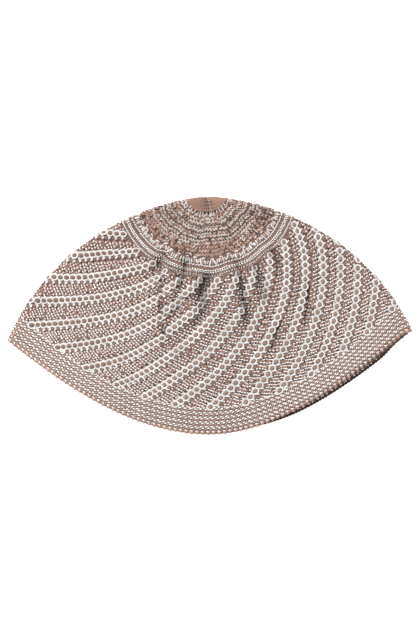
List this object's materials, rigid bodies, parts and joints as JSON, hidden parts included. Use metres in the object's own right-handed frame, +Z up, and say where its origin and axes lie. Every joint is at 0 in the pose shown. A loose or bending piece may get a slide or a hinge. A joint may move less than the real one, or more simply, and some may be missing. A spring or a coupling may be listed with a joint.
{
  "type": "skullcap",
  "caption": "Two-colour knitted skullcap folded flat, with a gathered crown, a corded ring, spiral honeycomb ropes up the side wall and a ribbed hem band.",
  "frame": {"origin": "centre of the overall box at its bottom, on the surface that the folded cap lies on", "axes": "+Z up from the surface, +Y from the mouth towards the crown, +X from the left corner of the hem to the right one"},
  "size_m": [0.2304, 0.1346, 0.0204],
  "materials": {
    "crown_centre": "plain tan knit yarn",
    "crown": "tan and off-white knit yarn",
    "crown_ring": "off-white knit yarn with tan rounds",
    "side_wall": "tan and off-white knit yarn",
    "hem_band": "tan and off-white knit yarn"
  },
  "bodies": {
    "root": {"crown_centre": "crown_centre", "crown": "crown", "crown_ring": "crown_ring", "side_wall": "side_wall", "hem_band": "hem_band"}
  },
  "joints": []
}
